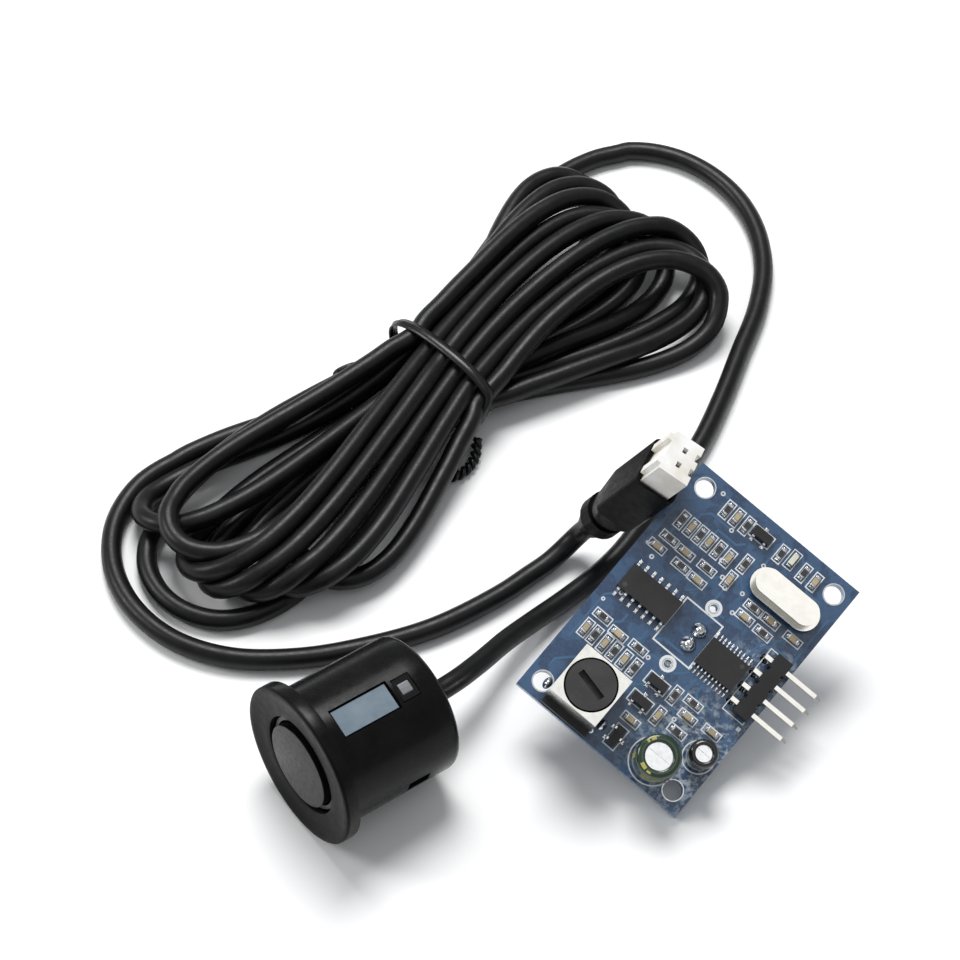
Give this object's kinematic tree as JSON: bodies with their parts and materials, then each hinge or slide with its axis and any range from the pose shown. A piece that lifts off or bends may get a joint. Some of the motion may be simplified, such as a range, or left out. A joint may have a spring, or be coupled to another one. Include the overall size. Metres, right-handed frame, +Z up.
{
  "type": "ultrasonic distance sensor",
  "caption": "Waterproof ultrasonic distance sensor: ranging board with a pin header, and a round probe on a folded lead that ends in a booted plug.",
  "frame": {"origin": "on the table under the middle of the box round the board and the probe, the lead left out", "axes": "+Z up from the table, +Y away from the viewer over the folded lead, +X towards the propped board"},
  "size_m": [0.1091, 0.1366, 0.0344],
  "materials": {
    "board": "blue solder mask over glass fibre board",
    "black_plastic": "matt black moulding",
    "gloss_black": "polished black moulding",
    "white_plastic": "cream white moulding",
    "tin": "tinned sheet steel",
    "gold_pin": "pale plated brass",
    "copper": null,
    "ferrite": "dark ferrite",
    "aluminium": "drawn aluminium",
    "green_sleeve": "dark green shrink sleeve",
    "rubber": "black moulded rubber",
    "silicone": "pale blue grey silicone",
    "piezo_ceramic": "sintered ceramic",
    "foam": null,
    "light_lens": "clear lens over a pale body",
    "cord": "black flexible jacket"
  },
  "bodies": {
    "probe_lead": {"probe_shell": "gloss_black", "silicone_sleeve": "silicone", "transducer_cup": "aluminium", "piezo_disc": "piezo_ceramic", "damping_pad": "foam", "potting": "rubber", "cable_grommet": "rubber", "probe_cable": "cord", "plug_cable": "cord", "cable_hank": "cord", "cable_tie": "cord", "plug_boot": "rubber", "boot_relief": "rubber", "plug_housing": "white_plastic", "plug_contact_1": "tin", "plug_contact_2": "tin"},
    "ranging_board": {"circuit_board": "board", "header_body": "black_plastic", "header_pin_1": "gold_pin", "header_pin_2": "gold_pin", "header_pin_3": "gold_pin", "header_pin_4": "gold_pin", "transformer_base": "black_plastic", "transformer_can": "tin", "transformer_bobbin": "black_plastic", "transformer_winding": "copper", "crystal_can": "tin", "crystal_base": "tin", "large_capacitor_can": "aluminium", "large_capacitor_sleeve": "green_sleeve", "large_capacitor_bung": "rubber", "small_capacitor_can": "aluminium", "small_capacitor_sleeve": "gloss_black", "small_capacitor_bung": "rubber", "amplifier_chip": "black_plastic", "controller_chip": "black_plastic", "transistor_1": "black_plastic", "transistor_2": "black_plastic", "transistor_3": "black_plastic", "transistor_4": "black_plastic", "status_light": "light_lens", "probe_socket": "white_plastic", "socket_pin_1": "tin", "socket_pin_2": "tin"},
    "tuning_core": {"tuning_core": "ferrite"}
  },
  "joints": [
    {"name": "board_lift", "type": "slide", "parent": "probe_lead", "child": "ranging_board", "axis": [0.4889, -0.6868, 0.5379], "range_m": [0, 0.05]},
    {"name": "core_turn", "type": "hinge", "parent": "ranging_board", "child": "tuning_core", "pos_m": [0.00394, -0.00811, 0.01788], "axis": [0.0606, -0.4523, 0.8898], "range_deg": [-450, 450]}
  ]
}
